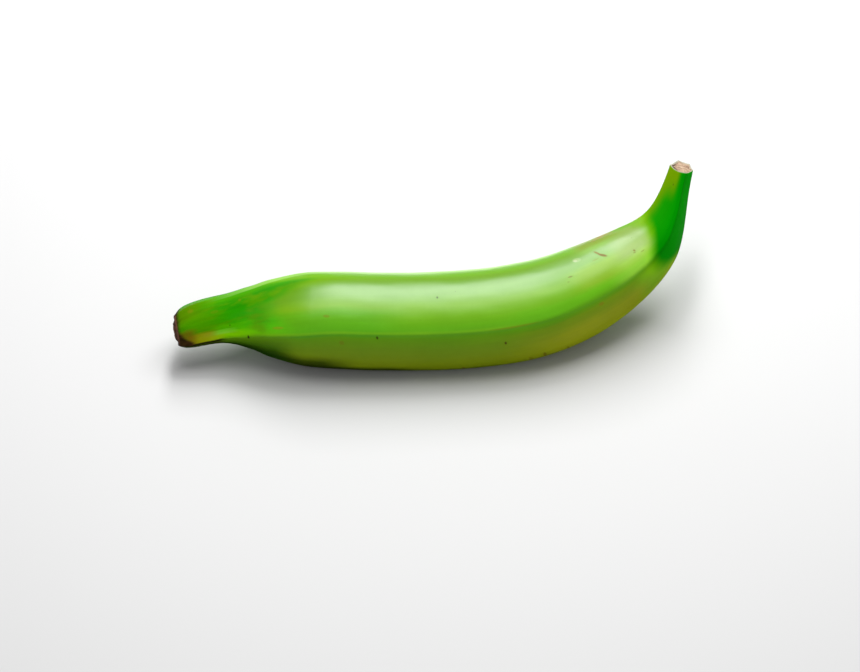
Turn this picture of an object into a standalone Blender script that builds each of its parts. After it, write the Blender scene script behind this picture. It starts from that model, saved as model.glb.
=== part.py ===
"""A whole green plantain, picked from its bunch and lying on its side.

The fruit grew as one piece: a peel with blunt ridges along it, the dried scar of the blossom at one
end and a stem stub, cut on a slant, at the other. +X runs from the blossom end towards the stem, the
stem bends towards +Y, and the fruit lies on the plane Z = 0 on one of its flatter faces.
"""

import math

import bmesh
import bpy
import numpy as np
from mathutils import Matrix

# Lengths are in metres and angles in degrees. A station is a pair: how far along the fruit it is, from
# 0 at the blossom end to 1 at the stem, and a value there.
LENGTH = 0.2670  # along the middle of the fruit
RINGS = 52
SPOKES = 48

# The direction of the middle line, turned from +X towards the inside of the bend.
HEADINGS = (
    (0.00, 22.0),
    (0.05, 14.0),
    (0.10, 5.0),
    (0.17, -1.2),
    (0.24, -1.8),
    (0.40, 0.7),
    (0.55, 7.6),
    (0.70, 25.0),
    (0.83, 40.0),
    (0.90, 63.0),
    (0.95, 73.0),
    (1.00, 75.0),
)
# How far the ridges stand from the middle line: a blunt neck, the full body, the shoulder, the stem.
RADII = (
    (0.000, 0.0078),
    (0.010, 0.0095),
    (0.025, 0.0105),
    (0.085, 0.0120),
    (0.130, 0.0151),
    (0.165, 0.0184),
    (0.235, 0.0221),
    (0.310, 0.0227),
    (0.580, 0.0229),
    (0.680, 0.0218),
    (0.760, 0.0196),
    (0.820, 0.0168),
    (0.868, 0.0136),
    (0.910, 0.0098),
    (0.940, 0.0078),
    (0.975, 0.0063),
    (1.000, 0.0057),
)
# Each ridge's direction round the middle line, from the inside of the bend (0) up (90) and over: at
# the blossom end, along the body and at the cut. Then its height as a share of the radius, and how
# full the face after it is: 0 is flat and 1 is round.
RIDGES = (
    ((41.0, 15.0, 16.0), 0.98, 0.88),
    ((160.0, 117.0, 119.0), 1.02, 0.75),
    ((220.0, 194.0, 177.0), 1.03, 0.22),
    ((304.0, 278.0, 231.0), 1.03, 0.60),
    ((356.0, 330.0, 289.0), 1.00, 0.60),
)
TOWARDS_BLOSSOM = ((0.00, 1.00), (0.05, 0.90), (0.10, 0.62), (0.16, 0.30), (0.30, 0.00), (1.00, 0.00))
TOWARDS_CUT = ((0.00, 0.00), (0.78, 0.00), (0.92, 0.80), (1.00, 1.00))
RIDGE_ROUNDING = 5.0  # a ridge is rounded off over this much on each side of it
ROUNDING_STEPS = 7
# The faces are flatter, and the ridges stand out more, on the neck and on the stem.
FULLNESS = ((0.00, 0.60), (0.12, 0.70), (0.28, 1.00), (0.80, 1.00), (0.92, 0.55), (1.00, 0.40))

# The cut through the stem slants back on its upper side, and the blossom end is nearly square. The stem
# goes on past its last ring by a share of its radius.
CUT_SIDE, CUT_SLANT, CUT_REACH = 92.0, 35.5, 0.020
CUT_ONWARDS = 0.50
BLOSSOM_SIDE, BLOSSOM_SLANT, BLOSSOM_REACH = 180.0, 12.0, 0.014

# The peel shows as a rim round the cut, with the pith a little lower, and the dried scar of the
# blossom stands out of its rim as a low knob.
PEEL_RIM = 0.0011
PITH_SINK = 0.0004
SCAR_RIM = 0.0014
SCAR_RISE = 0.0009
KNOB_INSET = 0.0030
KNOB_RISE = 0.0010

# How the fruit lies: rolled on to its flatter face, with its weight over the middle of it. Its own
# weight presses that face flat.
ROLL = 30.0
PITCH = 1.4
YAW = 0.7
PRESSED = 0.0006

# Each finish's name, colour and roughness. A face says which it has by its place in this list.
FINISHES = (
    ("green peel", (0.13, 0.36, 0.01, 1.0), 0.4),
    ("dried blossom scar", (0.05, 0.025, 0.015, 1.0), 0.85),
    ("cut pith", (0.55, 0.38, 0.24, 1.0), 0.8),
)
SCAR = 1
PITH = 2
SHARP_FROM = 40.0


def at(stations, along):
    """The value at each place along the fruit, on a smooth curve that never passes its stations."""
    places, values = np.array(stations).T
    rises = np.diff(values) / np.diff(places)
    product = np.maximum(rises[:-1] * rises[1:], 0)
    middle = 2 * product / np.where(product > 0, rises[:-1] + rises[1:], 1)
    slopes = np.concatenate([rises[:1], middle, rises[-1:]])
    before = np.clip(np.searchsorted(places, along) - 1, 0, len(places) - 2)
    step = places[before + 1] - places[before]
    part = (along - places[before]) / step
    return (
        (1 + 2 * part) * (1 - part) ** 2 * values[before]
        + part * (1 - part) ** 2 * step * slopes[before]
        + part**2 * (3 - 2 * part) * values[before + 1]
        - part**2 * (1 - part) * step * slopes[before + 1]
    )


def middle_line(along, steps=400):
    """Points on the middle line, which bends in the XY plane, found by walking along it."""
    walk = (np.arange(steps) + 0.5) / steps
    heading = np.radians(at(HEADINGS, walk))
    marks = np.arange(steps + 1) / steps
    x = np.concatenate([[0], np.cumsum(np.cos(heading))]) * LENGTH / steps
    y = np.concatenate([[0], np.cumsum(np.sin(heading))]) * LENGTH / steps
    return np.stack([np.interp(along, marks, x), np.interp(along, marks, y), 0 * along], axis=1)


def ridges_at(place):
    """The ridges' directions, heights and faces at one place along the fruit."""
    blossom, cut = at(TOWARDS_BLOSSOM, place), at(TOWARDS_CUT, place)
    found = []
    for (first, body, last), height, face in RIDGES:
        found.append((body + (first - body) * blossom + (last - body) * cut, height, face))
    return found


def sharp_section(angles, ridges, fullness):
    """How far the skin is from the middle line, in radii, before the ridges are rounded."""
    reach = np.ones(len(angles))
    for (start, near, face), (end, far, _) in zip(ridges, ridges[1:] + ridges[:1]):
        span = math.radians((end - start) % 360)
        past = np.radians((angles - start) % 360)
        on_face = past <= span
        past = np.minimum(past, span)
        flat = near * far * math.sin(span) / (near * np.sin(past) + far * np.sin(span - past))
        full = near + (far - near) * past / span
        reach[on_face] = (flat + (full - flat) * face * fullness)[on_face]
    return reach


def section(angles, place):
    """The same at one place along the fruit, with rounded ridges: the mean over nearby directions."""
    ridges, fullness = ridges_at(place), at(FULLNESS, place)
    nearby = np.linspace(-RIDGE_ROUNDING, RIDGE_ROUNDING, ROUNDING_STEPS)
    return sum(sharp_section(angles + offset, ridges, fullness) for offset in nearby) / ROUNDING_STEPS


def slant(distance, reach, angles, side, slope, onwards=0.0):
    """How far each point of a ring near an end slides along the fruit, per metre of radius."""
    share = max(0.0, 1 - distance / reach) ** 2
    return share * (np.cos(np.radians(angles - side)) * math.tan(math.radians(slope)) - onwards)


def rings():
    """The points of each ring, from the blossom end to the cut."""
    along = np.linspace(0, 1, RINGS)
    angles = np.linspace(0, 360, SPOKES, endpoint=False)
    turn = np.radians(angles)
    middle = middle_line(along)
    headings = np.radians(at(HEADINGS, along))
    radii = at(RADII, along)
    found = []
    for ring, place in enumerate(along):
        forward = np.array([np.cos(headings[ring]), np.sin(headings[ring]), 0])
        inward = np.array([-forward[1], forward[0], 0])
        radius = radii[ring] * section(angles, place)
        slide = slant(place * LENGTH, BLOSSOM_REACH, angles, BLOSSOM_SIDE, -BLOSSOM_SLANT)
        slide -= slant((1 - place) * LENGTH, CUT_REACH, angles, CUT_SIDE, CUT_SLANT, CUT_ONWARDS)
        outward = np.outer(np.cos(turn), inward) + np.outer(np.sin(turn), [0, 0, 1])
        found.append(middle[ring] + radius[:, None] * (outward + np.outer(slide, forward)))
    return found


def close_blossom_end(mesh, ring):
    """The dried scar: a rim, then a low knob."""
    cap = mesh.faces.new(ring)
    bmesh.ops.recalc_face_normals(mesh, faces=mesh.faces)
    rim = bmesh.ops.inset_region(mesh, faces=[cap], thickness=SCAR_RIM, depth=SCAR_RISE)["faces"]
    slope = bmesh.ops.inset_region(mesh, faces=[cap], thickness=KNOB_INSET, depth=KNOB_RISE)["faces"]
    for face in [cap] + rim + slope:
        face.material_index = SCAR


def close_cut(mesh, ring):
    """The cut face: the rim of peel, then the pith."""
    cap = mesh.faces.new(ring)
    bmesh.ops.recalc_face_normals(mesh, faces=mesh.faces)
    rim = bmesh.ops.inset_region(mesh, faces=[cap], thickness=PEEL_RIM, depth=-PITH_SINK)["faces"]
    for face in [cap] + rim:
        face.material_index = PITH


def lay_down(mesh):
    """Rolls the fruit on to its resting face, puts it on Z = 0 and presses that face flat."""
    roll = Matrix.Rotation(math.radians(ROLL), 4, "X")
    pitch = Matrix.Rotation(math.radians(PITCH), 4, "Y")
    yaw = Matrix.Rotation(math.radians(YAW), 4, "Z")
    bmesh.ops.transform(mesh, matrix=yaw @ pitch @ roll, verts=mesh.verts)
    floor = min(vertex.co.z for vertex in mesh.verts) + PRESSED
    for vertex in mesh.verts:
        vertex.co.z = max(vertex.co.z, floor)
    lowest = [min(vertex.co[axis] for vertex in mesh.verts) for axis in range(3)]
    highest = [max(vertex.co[axis] for vertex in mesh.verts) for axis in range(3)]
    centre = [(low + high) / 2 for low, high in zip(lowest, highest)]
    bmesh.ops.translate(mesh, vec=(-centre[0], -centre[1], -floor), verts=mesh.verts)


def material(name, colour, roughness):
    made = bpy.data.materials.new(name)
    made.use_nodes = True
    surface = made.node_tree.nodes["Principled BSDF"]
    surface.inputs["Base Color"].default_value = colour
    surface.inputs["Roughness"].default_value = roughness
    surface.inputs["Metallic"].default_value = 0.0
    return made


def plantain():
    """The whole fruit: rings skinned from end to end, closed at both ends, then laid down."""
    mesh = bmesh.new()
    loops = []
    for points in rings():
        ring = bmesh.ops.create_circle(mesh, segments=SPOKES, radius=1)["verts"]
        for vertex, point in zip(ring, points):
            vertex.co = point
        loops.append((ring, list({edge for vertex in ring for edge in vertex.link_edges})))
    for (_, near), (_, far) in zip(loops, loops[1:]):
        bmesh.ops.bridge_loops(mesh, edges=near + far)
    close_blossom_end(mesh, loops[0][0])
    close_cut(mesh, loops[-1][0])
    bmesh.ops.recalc_face_normals(mesh, faces=mesh.faces)
    lay_down(mesh)

    data = bpy.data.meshes.new("plantain")
    mesh.to_mesh(data)
    mesh.free()
    data.shade_smooth()
    data.set_sharp_from_angle(angle=math.radians(SHARP_FROM))
    for name, colour, roughness in FINISHES:
        data.materials.append(material(name, colour, roughness))
    fruit = bpy.data.objects.new("plantain", data)
    bpy.context.collection.objects.link(fruit)


for old in list(bpy.data.objects):
    bpy.data.objects.remove(old)
plantain()
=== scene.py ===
"""A green plantain lying on its side on a pale studio floor: its looks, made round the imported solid."""

import math

import bpy
import numpy as np
from mathutils import Matrix, Vector, noise


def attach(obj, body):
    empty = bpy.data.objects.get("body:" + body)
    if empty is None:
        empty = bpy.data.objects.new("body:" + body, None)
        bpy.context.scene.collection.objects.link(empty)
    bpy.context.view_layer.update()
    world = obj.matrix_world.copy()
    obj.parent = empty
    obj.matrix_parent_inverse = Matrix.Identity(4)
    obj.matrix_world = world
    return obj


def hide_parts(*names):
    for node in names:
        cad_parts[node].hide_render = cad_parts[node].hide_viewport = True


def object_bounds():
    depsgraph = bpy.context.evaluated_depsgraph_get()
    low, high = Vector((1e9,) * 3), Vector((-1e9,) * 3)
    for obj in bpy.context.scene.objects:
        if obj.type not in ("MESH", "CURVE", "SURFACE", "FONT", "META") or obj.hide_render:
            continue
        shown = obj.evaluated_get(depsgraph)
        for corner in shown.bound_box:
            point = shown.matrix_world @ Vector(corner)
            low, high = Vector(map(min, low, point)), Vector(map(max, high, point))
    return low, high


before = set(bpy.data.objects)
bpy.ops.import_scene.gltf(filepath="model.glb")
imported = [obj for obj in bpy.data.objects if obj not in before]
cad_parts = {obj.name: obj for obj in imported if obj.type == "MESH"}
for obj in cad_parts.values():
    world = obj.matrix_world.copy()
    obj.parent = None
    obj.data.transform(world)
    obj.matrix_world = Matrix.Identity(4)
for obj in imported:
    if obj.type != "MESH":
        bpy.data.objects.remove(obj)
packed_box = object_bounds()
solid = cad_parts["plantain"]

# ---- Camera ------------------------------------------------------------------------------------------
# It stands in front of the fruit and looks down on it. It is far off with a long lens, so that the
# near side and the far side are drawn at almost the same scale.
CAMERA_HEIGHT = 50.0  # degrees above the floor
LENS = 200.0  # millimetres, on a sensor 36 millimetres wide
SENSOR = 36.0
VIEW_WIDTH = 0.400  # metres from side to side of the view, at the fruit
AIM_RIGHT = -0.0019  # where it looks: this far to the right of the fruit's middle, in metres
AIM_BELOW = 0.0333  # and this far below it
SEES_TO = 50.0  # metres, past the far edge of the floor

tilt = math.radians(CAMERA_HEIGHT)
view_up = Vector((0, math.sin(tilt), math.cos(tilt)))
view_back = Vector((0, -math.cos(tilt), math.sin(tilt)))
heights = [vertex.co.dot(view_up) for vertex in solid.data.vertices]
depths = [vertex.co.dot(view_back) for vertex in solid.data.vertices]
camera_place = Vector((AIM_RIGHT, 0, 0))
camera_place += view_up * ((min(heights) + max(heights)) / 2 - AIM_BELOW)
camera_place += view_back * ((min(depths) + max(depths)) / 2 + VIEW_WIDTH * LENS / SENSOR)

bpy.ops.object.select_all(action="DESELECT")
bpy.ops.object.camera_add(location=camera_place, rotation=(math.pi / 2 - tilt, 0, 0))
camera = bpy.context.object
camera.data.lens = LENS
camera.data.sensor_width = SENSOR
camera.data.clip_end = SEES_TO
bpy.context.scene.camera = camera

# ---- The plantain ------------------------------------------------------------------------------------
# The whole fruit is one grown thing: a thick waxy peel with five blunt ridges, from the dried scar of
# the blossom to the stem, which was cut from its bunch with a knife. Nothing is fixed to it.

# How it grew. These sizes are the solid's own, in metres and degrees. A station is a pair: how far
# along the fruit it is, from 0 at the blossom end to 1 at the stem, and a value there.
LENGTH = 0.2670  # along the middle of the fruit
# The direction of the middle line, turned from +X towards the inside of the bend.
HEADINGS = (
    (0.00, 22.0),
    (0.05, 14.0),
    (0.10, 5.0),
    (0.17, -1.2),
    (0.24, -1.8),
    (0.40, 0.7),
    (0.55, 7.6),
    (0.70, 25.0),
    (0.83, 40.0),
    (0.90, 63.0),
    (0.95, 73.0),
    (1.00, 75.0),
)
# How far the ridges stand from the middle line.
RADII = (
    (0.000, 0.0078),
    (0.010, 0.0095),
    (0.025, 0.0105),
    (0.085, 0.0120),
    (0.130, 0.0151),
    (0.165, 0.0184),
    (0.235, 0.0221),
    (0.310, 0.0227),
    (0.580, 0.0229),
    (0.680, 0.0218),
    (0.760, 0.0196),
    (0.820, 0.0168),
    (0.868, 0.0136),
    (0.910, 0.0098),
    (0.940, 0.0078),
    (0.975, 0.0063),
    (1.000, 0.0057),
)
# Each ridge's direction round the middle line, from the inside of the bend (0) up (90) and over: at
# the blossom end, along the body and at the cut. Then its height as a share of the radius, and how
# full the face after it is: 0 is flat and 1 is round.
RIDGES = (
    ((41.0, 15.0, 16.0), 0.98, 0.88),
    ((160.0, 117.0, 119.0), 1.02, 0.75),
    ((220.0, 194.0, 177.0), 1.03, 0.22),
    ((304.0, 278.0, 231.0), 1.03, 0.60),
    ((356.0, 330.0, 289.0), 1.00, 0.60),
)
# How far the ridges have turned from their directions along the body to those at each end.
TOWARDS_BLOSSOM = ((0.00, 1.00), (0.05, 0.90), (0.10, 0.62), (0.16, 0.30), (0.30, 0.00), (1.00, 0.00))
TOWARDS_CUT = ((0.00, 0.00), (0.78, 0.00), (0.92, 0.80), (1.00, 1.00))
RIDGE_ROUNDING = 4.0  # a ridge is rounded off over this much on each side of it
ROUNDING_STEPS = 9
# The faces are flatter, and the ridges stand out more, on the neck and on the stem.
FULLNESS = ((0.00, 0.60), (0.12, 0.70), (0.28, 1.00), (0.80, 1.00), (0.92, 0.55), (1.00, 0.40))
# The cut through the stem slants back on its upper side, and the blossom end is nearly square. The stem
# goes on past its last ring by a share of its radius.
CUT_SIDE, CUT_SLANT, CUT_REACH = 92.0, 35.5, 0.020
CUT_ONWARDS = 0.50
BLOSSOM_SIDE, BLOSSOM_SLANT, BLOSSOM_REACH = 180.0, 12.0, 0.014
# How it lies: on its flatter face, which its own weight presses flat.
ROLL = 30.0
PITCH = 1.4
YAW = 0.7
PRESSED = 0.0006

# The sheet that the skin is made from: rows of faces from end to end, and columns round each face of
# the fruit, which crowd towards its ridges. The first and last rows close the two ends.
SCAR_ROWS = 16
BODY_ROWS = 390
CUT_ROWS = 18
FACE_COLUMNS = (57, 43, 46, 29, 25)
CROWDING = 0.5
ROWS = SCAR_ROWS + BODY_ROWS + CUT_ROWS
COLUMNS = sum(FACE_COLUMNS)
FACES = len(RIDGES)

# The skin's own unevenness, which grows with the fruit: how deep, how long along and how wide round.
SWELLS = ((0.00022, 0.034, 0.016), (0.00010, 0.012, 0.005))
SWELL_SEED = 7.3  # each seed takes a noise from another part of its pattern
# A low bead runs along each ridge.
BEAD_HEIGHT = 0.00012
BEAD_WIDTH = 0.0009
# Fibres under the skin show as ribs where the peel is drawn in, on the neck and on the stem.
RIB_HEIGHT = 0.00009
RIB_LENGTH = 0.045
RIB_WIDTH = 0.0014
RIB_SEED = 31.7
RIBBED = ((0.00, 1.00), (0.10, 0.80), (0.22, 0.00), (0.85, 0.00), (0.93, 0.80), (1.00, 1.00))

# The ends, from the middle (0) to the skin (1), and how far each place stands out of the end: a low
# knob in the scar, and a groove between the pith and the rim of peel. Then how rough each end is.
SCAR_PROFILE = (
    (0.00, 0.00150),
    (0.25, 0.00185),
    (0.48, 0.00165),
    (0.62, 0.00090),
    (0.74, 0.00055),
    (0.84, 0.00090),
    (0.93, 0.00070),
    (1.00, 0.00000),
)
SCAR_ROUGHNESS, SCAR_SEED = 0.00045, 3.0
CUT_PROFILE = (
    (0.00, -0.00030),
    (0.40, -0.00015),
    (0.70, -0.00022),
    (0.79, -0.00045),
    (0.84, -0.00030),
    (0.90, 0.00005),
    (0.97, 0.00008),
    (1.00, 0.00000),
)
CUT_ROUGHNESS, CUT_SEED = 0.00030, 9.0
LUMPS_PER_METRE = 900
RIM_CALM = 8  # the higher this power is, the closer the roughness comes to the rim
FACE_CORNERS = 4
NEARLY_NOTHING = 1e-9
JOIN_WITHIN = 0.000001


def at(stations, along):
    """The value at each place along the fruit, on a smooth curve that never passes its stations."""
    places, values = np.array(stations).T
    rises = np.diff(values) / np.diff(places)
    product = np.maximum(rises[:-1] * rises[1:], 0)
    middle = 2 * product / np.where(product > 0, rises[:-1] + rises[1:], 1)
    slopes = np.concatenate([rises[:1], middle, rises[-1:]])
    before = np.clip(np.searchsorted(places, along) - 1, 0, len(places) - 2)
    step = places[before + 1] - places[before]
    part = (along - places[before]) / step
    return (
        (1 + 2 * part) * (1 - part) ** 2 * values[before]
        + part * (1 - part) ** 2 * step * slopes[before]
        + part**2 * (3 - 2 * part) * values[before + 1]
        - part**2 * (1 - part) * step * slopes[before + 1]
    )


def middle_line(along, steps=400):
    """Points on the middle line, which bends in the XY plane, found by walking along it."""
    walk = (np.arange(steps) + 0.5) / steps
    heading = np.radians(at(HEADINGS, walk))
    marks = np.arange(steps + 1) / steps
    x = np.concatenate([[0], np.cumsum(np.cos(heading))]) * LENGTH / steps
    y = np.concatenate([[0], np.cumsum(np.sin(heading))]) * LENGTH / steps
    return np.stack([np.interp(along, marks, x), np.interp(along, marks, y), 0 * along], axis=1)


def ridges_at(place):
    """The ridges' directions, heights and faces at one place along the fruit."""
    blossom, cut = at(TOWARDS_BLOSSOM, place), at(TOWARDS_CUT, place)
    found = []
    for (first, body, last), height, face in RIDGES:
        found.append((body + (first - body) * blossom + (last - body) * cut, height, face))
    return found


def sharp_section(angles, ridges, fullness):
    """How far the skin is from the middle line, in radii, before the ridges are rounded."""
    reach = np.ones(len(angles))
    for (start, near, face), (end, far, _) in zip(ridges, ridges[1:] + ridges[:1]):
        span = math.radians((end - start) % 360)
        past = np.radians((angles - start) % 360)
        on_face = past <= span
        past = np.minimum(past, span)
        flat = near * far * math.sin(span) / (near * np.sin(past) + far * np.sin(span - past))
        full = near + (far - near) * past / span
        reach[on_face] = (flat + (full - flat) * face * fullness)[on_face]
    return reach


def section(angles, place):
    """The same at one place along the fruit, with rounded ridges: the mean over nearby directions."""
    ridges, fullness = ridges_at(place), at(FULLNESS, place)
    nearby = np.linspace(-RIDGE_ROUNDING, RIDGE_ROUNDING, ROUNDING_STEPS)
    return sum(sharp_section(angles + offset, ridges, fullness) for offset in nearby) / ROUNDING_STEPS


def slant(distance, reach, angles, side, slope, onwards=0.0):
    """How far each point of a ring near an end slides along the fruit, per metre of radius."""
    share = max(0.0, 1 - distance / reach) ** 2
    return share * (np.cos(np.radians(angles - side)) * math.tan(math.radians(slope)) - onwards)


def grain(along, depth, turn, radius, long, wide, seed):
    """Noise that is stretched along the fruit, at one ring of points, and meets itself round it."""
    found = []
    for angle, reach in zip(turn, radius):
        around = (reach * math.cos(angle) / wide, reach * math.sin(angle) / wide)
        found.append(noise.noise(Vector((along / long + seed, around[0], around[1]))))
    return np.array(found) * depth


def skin_ring(place, faces):
    """The points of one ring of skin. Faces counts round the fruit from ridge to ridge."""
    ridges = ridges_at(place)
    marks = [ridge[0] for ridge in ridges]
    angles = np.interp(faces, range(FACES + 1), marks + [marks[0] + 360])
    turn = np.radians(angles)
    radius = at(RADII, place) * section(angles, place)
    from_ridge = np.abs(faces - np.round(faces)) * radius * 2 * math.pi / FACES
    radius = radius + BEAD_HEIGHT * np.exp(-((from_ridge / BEAD_WIDTH) ** 2))
    for number, (depth, long, wide) in enumerate(SWELLS):
        radius = radius + grain(place * LENGTH, depth, turn, radius, long, wide, SWELL_SEED * number)
    ribs = grain(place * LENGTH, RIB_HEIGHT, turn, radius, RIB_LENGTH, RIB_WIDTH, RIB_SEED)
    radius = radius + ribs * at(RIBBED, place)
    heading = math.radians(at(HEADINGS, place))
    forward = np.array([math.cos(heading), math.sin(heading), 0])
    inward = np.array([-forward[1], forward[0], 0])
    slide = slant(place * LENGTH, BLOSSOM_REACH, angles, BLOSSOM_SIDE, -BLOSSOM_SLANT)
    slide -= slant((1 - place) * LENGTH, CUT_REACH, angles, CUT_SIDE, CUT_SLANT, CUT_ONWARDS)
    outward = np.outer(np.cos(turn), inward) + np.outer(np.sin(turn), [0, 0, 1])
    middle = middle_line(np.array([place]))[0]
    return middle + radius[:, None] * (outward + np.outer(slide, forward))


def end_ring(rim, share, profile, roughness, outwards, seed):
    """The points of one ring on an end: the rim drawn in towards its middle and moved out of it."""
    middle = rim[:-1].mean(axis=0)
    points = middle + share * (rim - middle)
    rise = np.full(len(rim), at(profile, share))
    for index, point in enumerate(points):
        lump = noise.noise(Vector(point) * LUMPS_PER_METRE + Vector((seed, 0, 0)))
        rise[index] += roughness * (1 - share**RIM_CALM) * lump
    return points + rise[:, None] * outwards


def plane_of(rim):
    """The direction that a closed ring of points faces."""
    middle = rim[:-1].mean(axis=0)
    across = np.cross(rim[:-1] - middle, rim[1:] - middle).sum(axis=0)
    return across / np.linalg.norm(across)


# A flat sheet is the start. Its columns are spread over the five faces, and it is rolled up ring by
# ring, so that its own map becomes the peel's: along the fruit, and round it from ridge to ridge.
bpy.ops.object.select_all(action="DESELECT")
bpy.ops.mesh.primitive_grid_add(x_subdivisions=ROWS, y_subdivisions=COLUMNS, size=1)
fruit = bpy.context.object
fruit.name = "plantain_peel"
sheet = fruit.data
flat = np.empty(len(sheet.vertices) * 3, np.float32)
sheet.vertices.foreach_get("co", flat)
flat = flat.reshape(-1, 3)
row = np.rint((flat[:, 0] + 0.5) * ROWS).astype(int)
column = np.rint((flat[:, 1] + 0.5) * COLUMNS).astype(int)

faces = []
for face, count in enumerate(FACE_COLUMNS):
    share = np.arange(count) / count
    faces.append(face + share - CROWDING * np.sin(2 * math.pi * share) / (2 * math.pi))
faces = np.concatenate(faces + [[float(FACES)]])

places = np.linspace(0, 1, BODY_ROWS + 1)
body = [skin_ring(place, faces) for place in places]
scar_out = plane_of(body[0])
cut_out = -plane_of(body[-1])
if np.dot(scar_out, body[1].mean(axis=0) - body[0].mean(axis=0)) > 0:
    scar_out = -scar_out
if np.dot(cut_out, body[-2].mean(axis=0) - body[-1].mean(axis=0)) > 0:
    cut_out = -cut_out
scar_shares = np.linspace(0, 1, SCAR_ROWS, endpoint=False)
cut_shares = 1 - np.linspace(0, 1, CUT_ROWS + 1)[1:]
scar, cut = [], []
for share in scar_shares:
    scar.append(end_ring(body[0], share, SCAR_PROFILE, SCAR_ROUGHNESS, scar_out, SCAR_SEED))
for share in cut_shares:
    cut.append(end_ring(body[-1], share, CUT_PROFILE, CUT_ROUGHNESS, cut_out, CUT_SEED))
points = np.array(scar + body + cut)[row, column]
sheet.vertices.foreach_set("co", points.astype(np.float32).ravel())

# The sheet's map: place and faces on the skin. On each end it is a disc, from its middle to 1 at the
# peel, with its upright as the map's own, so that the patterns lie flat on it.
corners = np.empty(len(sheet.loops), np.int32)
sheet.loops.foreach_get("vertex_index", corners)
polygon_rows = np.empty(len(sheet.polygons), np.int32)
for polygon in sheet.polygons:
    polygon_rows[polygon.index] = min(row[vertex] for vertex in polygon.vertices)
on_scar = polygon_rows < SCAR_ROWS
on_cut = polygon_rows >= SCAR_ROWS + BODY_ROWS
skin_map = np.stack([(row[corners] - SCAR_ROWS) / BODY_ROWS, faces[column[corners]]], axis=1)
shares = np.concatenate([scar_shares, np.ones(BODY_ROWS + 1), cut_shares])[row[corners]]
for end, ring, out in ((on_scar, body[0], scar_out), (on_cut, body[-1], cut_out)):
    up = np.array([0.0, 0.0, 1.0]) - out[2] * out
    up /= np.linalg.norm(up)
    offset = points[corners] - ring[:-1].mean(axis=0)
    disc = np.stack([offset @ np.cross(up, out), offset @ up], axis=1)
    disc *= shares[:, None] / np.maximum(np.linalg.norm(disc, axis=1), NEARLY_NOTHING)[:, None]
    chosen = np.repeat(end, FACE_CORNERS)
    skin_map[chosen] = disc[chosen]
sheet.uv_layers.remove(sheet.uv_layers[0])
peel_map = sheet.uv_layers.new(name="peel_map")
peel_map.data.foreach_set("uv", skin_map.astype(np.float32).ravel())
sheet.polygons.foreach_set("material_index", (on_scar + 2 * on_cut).astype(np.int32))

# The seam and the two poles are joined, and the faces turned outwards.
bpy.ops.object.mode_set(mode="EDIT")
bpy.ops.mesh.select_all(action="SELECT")
bpy.ops.mesh.remove_doubles(threshold=JOIN_WITHIN)
bpy.ops.mesh.normals_make_consistent(inside=False)
bpy.ops.object.mode_set(mode="OBJECT")
bpy.ops.object.shade_smooth()

# It lies down as the solid does: rolled on to its flatter face, with that face pressed flat.
roll = Matrix.Rotation(math.radians(ROLL), 4, "X")
pitch = Matrix.Rotation(math.radians(PITCH), 4, "Y")
yaw = Matrix.Rotation(math.radians(YAW), 4, "Z")
sheet.transform(yaw @ pitch @ roll)
floor_height = min(vertex.co.z for vertex in sheet.vertices) + PRESSED
for vertex in sheet.vertices:
    vertex.co.z = max(vertex.co.z, floor_height)
lowest = [min(vertex.co[axis] for vertex in sheet.vertices) for axis in range(3)]
highest = [max(vertex.co[axis] for vertex in sheet.vertices) for axis in range(3)]
packed_middle = (packed_box[0] + packed_box[1]) / 2
sheet.transform(
    Matrix.Translation(
        (
            packed_middle.x - (lowest[0] + highest[0]) / 2,
            packed_middle.y - (lowest[1] + highest[1]) / 2,
            packed_box[0].z - floor_height,
        )
    )
)
sheet.update()

# Its peel is a smooth waxy skin, unripe green: deep green where it is drawn in at the neck and the
# stem, olive to ochre along its lower side, and paler on the ridges. The blossom end is dried brown,
# and handling has left small specks, rubs and scratches. Some of its colour is painted light: painted
# shade under the neck, along the lower side towards the neck and under the tip, painted shade and
# light across the upper face, a paler strip along the bottom, and painted highlights on the shoulder,
# the neck's ridge, the upper edge and the main ridge. A colour's place round the fruit is counted in
# faces from the first ridge, and goes from -1 to 4.
# Across the upper face the greens are partly painted shade and light: darker above, brighter below.
BODY_GREENS_AND_SHADE = (
    (-1.00, (0.110, 0.310, 0.000, 1.0)),
    (-0.50, (0.085, 0.260, 0.000, 1.0)),
    (-0.10, (0.130, 0.300, 0.000, 1.0)),
    (0.06, (0.120, 0.330, 0.000, 1.0)),
    (0.18, (0.125, 0.330, 0.000, 1.0)),
    (0.26, (0.118, 0.270, 0.000, 1.0)),
    (0.40, (0.098, 0.255, 0.000, 1.0)),
    (0.53, (0.115, 0.290, 0.000, 1.0)),
    (0.67, (0.175, 0.395, 0.000, 1.0)),
    (0.82, (0.155, 0.420, 0.000, 1.0)),
    (0.93, (0.125, 0.430, 0.000, 1.0)),
    (0.98, (0.110, 0.370, 0.000, 1.0)),
    (1.03, (0.130, 0.405, 0.000, 1.0)),
    (1.10, (0.150, 0.365, 0.000, 1.0)),
    (1.30, (0.190, 0.340, 0.000, 1.0)),
    (1.60, (0.235, 0.325, 0.000, 1.0)),
    (1.90, (0.250, 0.330, 0.000, 1.0)),
    (2.04, (0.190, 0.330, 0.000, 1.0)),
    (2.20, (0.170, 0.300, 0.000, 1.0)),
    (2.60, (0.120, 0.280, 0.000, 1.0)),
    (2.97, (0.130, 0.330, 0.000, 1.0)),
    (3.05, (0.130, 0.330, 0.000, 1.0)),
    (3.50, (0.090, 0.270, 0.000, 1.0)),
    (4.00, (0.110, 0.310, 0.000, 1.0)),
)
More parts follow.
